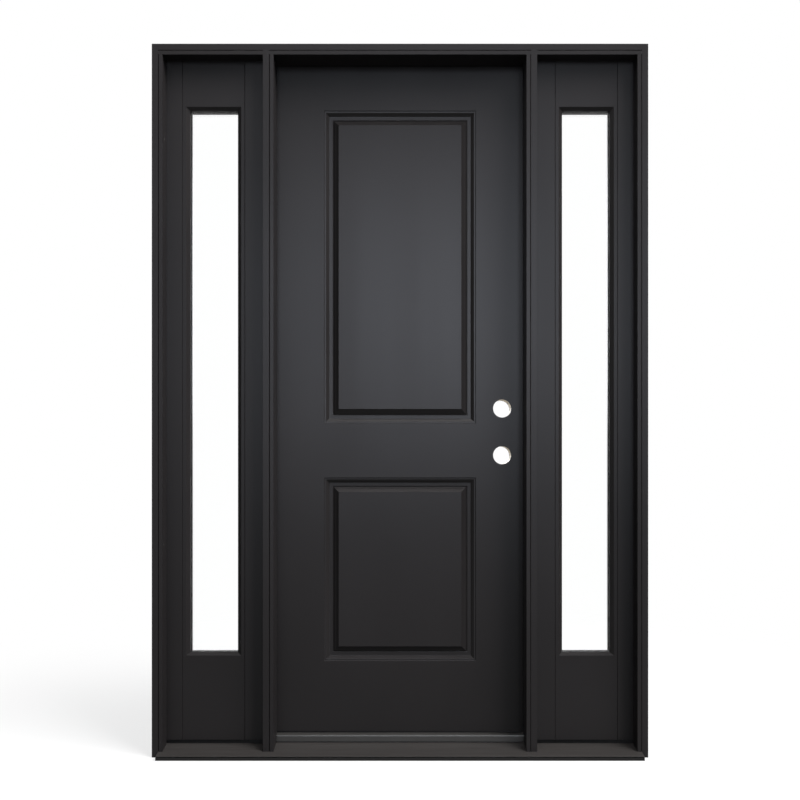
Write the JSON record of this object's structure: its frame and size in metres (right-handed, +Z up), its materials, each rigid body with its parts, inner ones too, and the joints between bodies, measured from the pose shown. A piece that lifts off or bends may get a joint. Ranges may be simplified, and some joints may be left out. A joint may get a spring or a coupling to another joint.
{
  "type": "entry door with sidelights",
  "caption": "Black entry door with moulded panels and lock bores, hung between narrow glazed sidelights in a frame with a sloped sill.",
  "frame": {"origin": "middle of the sill's underside, in the plane of the frame's outdoor face", "axes": "+X to the right as seen from outdoors, +Y indoors, +Z up"},
  "size_m": [1.444, 0.155, 2.076],
  "materials": {
    "frame_paint": "satin black paint on wood jambs, mullions and stops",
    "sidelight_paint": "satin black paint on moulded sidelight panels",
    "door_paint": "satin black paint on moulded door skins",
    "door_edge": "painted wood edge stiles and rails of the door",
    "lock_block": "bare wood inside the lock bores",
    "core_foam": "rigid insulating foam, hidden in the door",
    "sill_metal": "dark anodised sill deck",
    "sill_base": "dark composite sill base",
    "threshold_cap": "dark composite threshold cap",
    "seal": "soft black seal",
    "glass": "clear sealed glass unit",
    "hinge_steel": "black coated steel hinges"
  },
  "bodies": {
    "frame": {"door_head_stop": "frame_paint", "head_jamb": "frame_paint", "head_weatherstrip": "seal", "hinge_frame_leaves": "hinge_steel", "hinge_pins": "hinge_steel", "hinge_side_stop": "frame_paint", "hinge_side_weatherstrip": "seal", "left_jamb": "frame_paint", "left_jamb_stop": "frame_paint", "left_mullion": "frame_paint", "left_sidelight_base_strip": "seal", "left_sidelight_bottom_rail": "sidelight_paint", "left_sidelight_glass": "glass", "left_sidelight_head_stop": "frame_paint", "left_sidelight_indoor_cross_stops": "frame_paint", "left_sidelight_indoor_lite_frame": "sidelight_paint", "left_sidelight_indoor_side_stops": "frame_paint", "left_sidelight_inner_stile": "sidelight_paint", "left_sidelight_outdoor_lite_frame": "sidelight_paint", "left_sidelight_outer_stile": "sidelight_paint", "left_sidelight_top_rail": "sidelight_paint", "lock_side_stop": "frame_paint", "lock_side_weatherstrip": "seal", "right_jamb": "frame_paint", "right_jamb_stop": "frame_paint", "right_mullion": "frame_paint", "right_sidelight_base_strip": "seal", "right_sidelight_bottom_rail": "sidelight_paint", "right_sidelight_glass": "glass", "right_sidelight_head_stop": "frame_paint", "right_sidelight_indoor_cross_stops": "frame_paint", "right_sidelight_indoor_lite_frame": "sidelight_paint", "right_sidelight_indoor_side_stops": "frame_paint", "right_sidelight_inner_stile": "sidelight_paint", "right_sidelight_outdoor_lite_frame": "sidelight_paint", "right_sidelight_outer_stile": "sidelight_paint", "right_sidelight_top_rail": "sidelight_paint", "sill_base": "sill_base", "sill_deck": "sill_metal", "threshold_cap": "threshold_cap"},
    "door": {"door_bottom_rail": "door_edge", "door_core": "core_foam", "door_hinge_stile": "door_edge", "door_indoor_skin": "door_paint", "door_lock_block": "lock_block", "door_lock_stile": "door_edge", "door_outdoor_skin": "door_paint", "door_sweep": "seal", "door_top_rail": "door_edge", "hinge_door_leaves": "hinge_steel"}
  },
  "joints": [
    {"name": "door_hinge", "type": "hinge", "parent": "frame", "child": "door", "pos_m": [-0.3785, 0.122, 1.0905], "axis": [0, 0, 1], "range_deg": [0, 180]}
  ]
}
